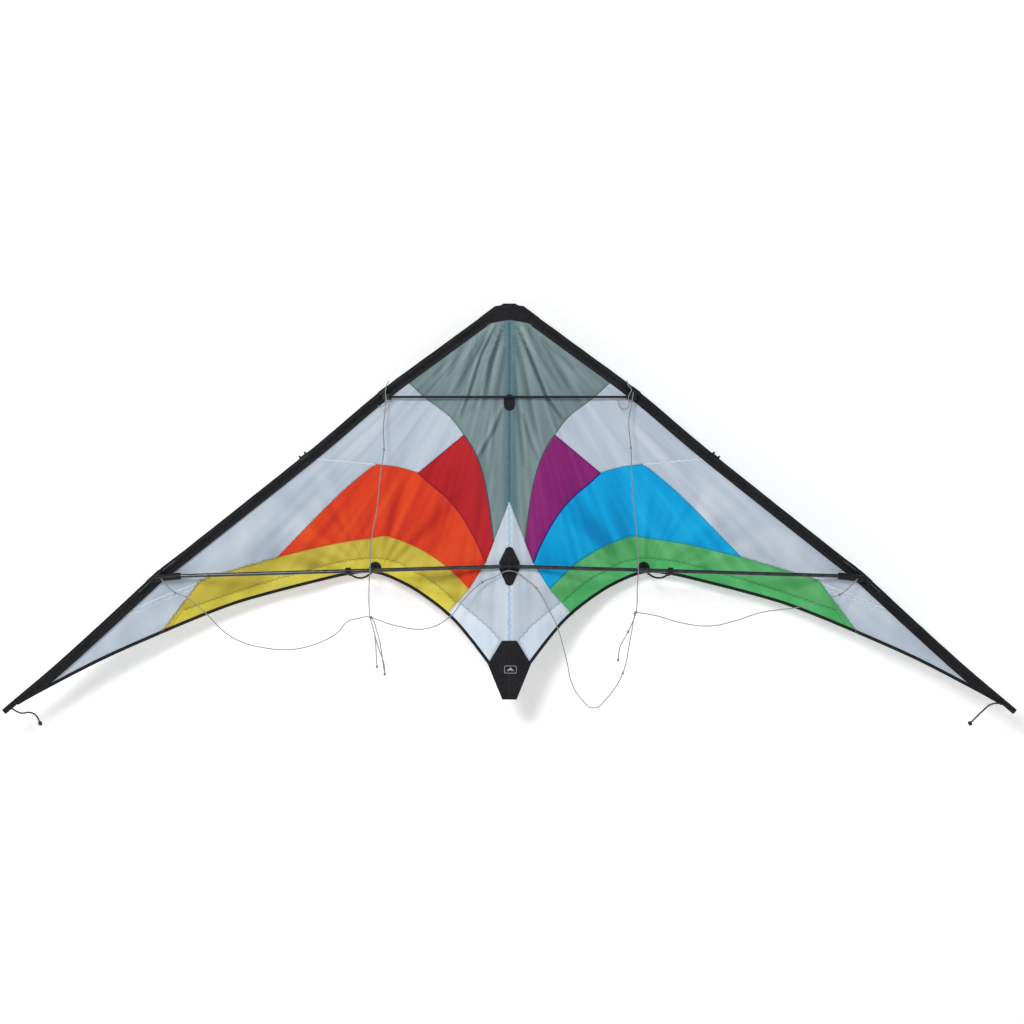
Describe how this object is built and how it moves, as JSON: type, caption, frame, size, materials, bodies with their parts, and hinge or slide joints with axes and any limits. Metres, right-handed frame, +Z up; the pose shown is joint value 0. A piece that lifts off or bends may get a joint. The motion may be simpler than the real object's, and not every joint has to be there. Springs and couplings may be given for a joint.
{
  "type": "delta kite",
  "caption": "Dual-line delta kite: ripstop sail on a carbon frame with spreaders, bowed standoffs and a line bridle; the wings fold along the spine.",
  "frame": {"origin": "top of the nose webbing on the centre line, in the sail's plane", "axes": "+X across the span to the right wing as seen from the bridle side, +Y from the bridle side back through the sail, +Z up towards the nose"},
  "size_m": [1.5522, 0.1112, 0.6429],
  "materials": {
    "carbon_tube": "pultruded carbon tube, satin gloss",
    "glass_rod": "thin fibreglass rod, satin",
    "alloy_ferrule": "turned",
    "moulded_fitting": "black moulded fitting",
    "rubber_cap": "black vinyl cap",
    "black_webbing": "woven polyester webbing",
    "black_ripstop": "coated sleeve cloth",
    "grey_ripstop": "coated ripstop",
    "white_ripstop": "coated ripstop",
    "red_ripstop": "coated ripstop",
    "orange_ripstop": "coated ripstop",
    "yellow_ripstop": "coated ripstop",
    "purple_ripstop": "coated ripstop",
    "blue_ripstop": "coated ripstop",
    "green_ripstop": "coated ripstop",
    "spine_tape_cloth": "woven tape",
    "bridle_line": "braided line",
    "tip_line": "braided cord"
  },
  "bodies": {
    "frame": {"spine_rod": "carbon_tube", "spine_tape": "spine_tape_cloth", "spine_patches": "black_webbing", "spine_end_cap": "rubber_cap", "nose_patch": "black_webbing", "tail_patch": "black_webbing", "centre_tee": "moulded_fitting"},
    "left_wing": {"grey_panel_left": "grey_ripstop", "upper_white_panel_left": "white_ripstop", "middle_white_panel_left": "white_ripstop", "tip_white_panel_left": "white_ripstop", "red_panel_left": "red_ripstop", "orange_panel_left": "orange_ripstop", "yellow_panel_left": "yellow_ripstop", "centre_panel_left": "white_ripstop", "leading_edge_sleeve_left": "black_ripstop", "trailing_edge_binding_left": "black_ripstop", "upper_leading_rod_left": "carbon_tube", "lower_leading_rod_left": "carbon_tube", "leading_ferrule_left": "alloy_ferrule", "lower_spreader_left": "carbon_tube", "upper_fitting_left": "moulded_fitting", "lower_fitting_left": "moulded_fitting", "middle_clip_left": "moulded_fitting", "tip_nock_left": "rubber_cap", "standoff_patch_left": "black_webbing", "upper_bridle_leg_left": "bridle_line", "outer_bridle_leg_left": "bridle_line", "inner_bridle_leg_left": "bridle_line", "tip_cord_left": "tip_line"},
    "right_wing": {"grey_panel_right": "grey_ripstop", "upper_white_panel_right": "white_ripstop", "middle_white_panel_right": "white_ripstop", "tip_white_panel_right": "white_ripstop", "purple_panel_right": "purple_ripstop", "blue_panel_right": "blue_ripstop", "green_panel_right": "green_ripstop", "centre_panel_right": "white_ripstop", "leading_edge_sleeve_right": "black_ripstop", "trailing_edge_binding_right": "black_ripstop", "upper_leading_rod_right": "carbon_tube", "lower_leading_rod_right": "carbon_tube", "leading_ferrule_right": "alloy_ferrule", "lower_spreader_right": "carbon_tube", "upper_fitting_right": "moulded_fitting", "lower_fitting_right": "moulded_fitting", "middle_clip_right": "moulded_fitting", "tip_nock_right": "rubber_cap", "standoff_patch_right": "black_webbing", "upper_bridle_leg_right": "bridle_line", "outer_bridle_leg_right": "bridle_line", "inner_bridle_leg_right": "bridle_line", "tip_cord_right": "tip_line"},
    "upper_spreader": {"upper_spreader": "glass_rod"},
    "left_standoff": {"standoff_clip_left": "moulded_fitting", "standoff_rod_left": "glass_rod", "standoff_cap_left": "rubber_cap"},
    "right_standoff": {"standoff_clip_right": "moulded_fitting", "standoff_rod_right": "glass_rod", "standoff_cap_right": "rubber_cap"}
  },
  "joints": [
    {"name": "left_wing_fold", "type": "hinge", "parent": "frame", "child": "left_wing", "pos_m": [0, -0.008, -0.402], "axis": [0, 0, 1], "range_deg": [0, 75], "deforming": ["centre_tee", "nose_patch", "spine_patches"]},
    {"name": "right_wing_fold", "type": "hinge", "parent": "frame", "child": "right_wing", "pos_m": [0, -0.008, -0.402], "axis": [0, 0, -1], "range_deg": [0, 75]},
    {"name": "upper_spreader_release", "type": "slide", "parent": "frame", "child": "upper_spreader", "axis": [0, -1, 0], "range_m": [0, 0.3932]},
    {"name": "left_standoff_swing", "type": "hinge", "parent": "left_wing", "child": "left_standoff", "pos_m": [-0.246, -0.008, -0.40914], "axis": [-0.9996, 0, -0.029], "range_deg": [0, 90]},
    {"name": "right_standoff_swing", "type": "hinge", "parent": "right_wing", "child": "right_standoff", "pos_m": [0.246, -0.008, -0.40914], "axis": [-0.9996, 0, 0.029], "range_deg": [0, 90]}
  ],
  "couplings": [
    {"joint": "right_wing_fold", "follows": "left_wing_fold", "ratio": 1},
    {"joint": "upper_spreader_release", "follows": "left_wing_fold", "m_per_rad": 0.3}
  ]
}
